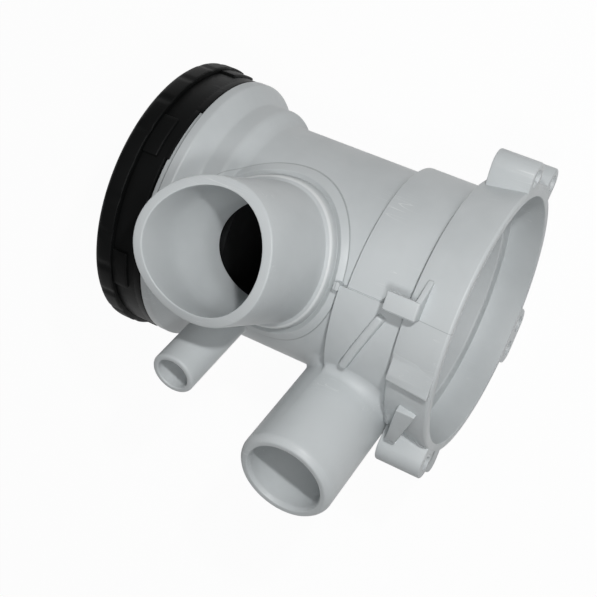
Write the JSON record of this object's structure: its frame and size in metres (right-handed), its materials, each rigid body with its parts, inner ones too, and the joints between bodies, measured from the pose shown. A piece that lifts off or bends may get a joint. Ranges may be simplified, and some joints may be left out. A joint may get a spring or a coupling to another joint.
{
  "type": "washing machine pump filter housing",
  "caption": "Drain pump filter housing with sump inlet, drain outlet and vent spout, a bell seat for the pump, and a screw cap carrying a pull-out comb insert.",
  "frame": {"origin": "centre of the open end of the pump bell, on the main axis", "axes": "+Y runs along the main axis towards the pump, -Y towards the cap, +Z is the side of the inlet nozzle, +X is the side of the outlet nozzle and the vent spout"},
  "size_m": [0.1117, 0.1084, 0.1098],
  "materials": {
    "white_plastic": "satin moulded polypropylene, pale cool grey",
    "black_plastic": "satin moulded polypropylene, black",
    "black_rubber": "soft sealing rubber"
  },
  "bodies": {
    "housing": {"front_flange": "white_plastic", "mouth_ring": "white_plastic", "housing_thread": "white_plastic", "filter_tube": "white_plastic", "guide_ribs": "white_plastic", "inlet_nozzle": "white_plastic", "inlet_collar": "white_plastic", "vent_spout": "white_plastic", "pump_neck": "white_plastic", "neck_shroud": "white_plastic", "neck_catch": "white_plastic", "outlet_nozzle": "white_plastic", "outlet_rib": "white_plastic", "pump_bell": "white_plastic", "ear_left": "white_plastic", "ear_lower": "white_plastic", "ear_right": "white_plastic", "ear_rib": "white_plastic", "cable_hook": "white_plastic", "bell_lip": "white_plastic"},
    "insert": {"insert_disc": "black_plastic", "swivel_pin": "black_plastic", "insert_trough": "black_plastic", "insert_end_ring": "black_plastic", "insert_comb": "black_plastic"},
    "cap": {"cap_shell": "black_plastic", "cap_collar": "black_plastic", "cap_grip_bar": "black_plastic", "cap_spigot": "black_plastic", "cap_thread": "black_plastic", "cap_hub": "black_plastic", "cap_seal": "black_rubber"}
  },
  "joints": [
    {"name": "insert_slide", "type": "slide", "parent": "housing", "child": "insert", "axis": [0, -1, 0], "range_m": [0, 0.00728]},
    {"name": "cap_turn", "type": "hinge", "parent": "insert", "child": "cap", "pos_m": [0, -0.09, 0], "axis": [0, -1, 0], "range_deg": [0, 468]}
  ],
  "couplings": [
    {"joint": "insert_slide", "follows": "cap_turn", "m_per_rad": 0.00089127}
  ]
}
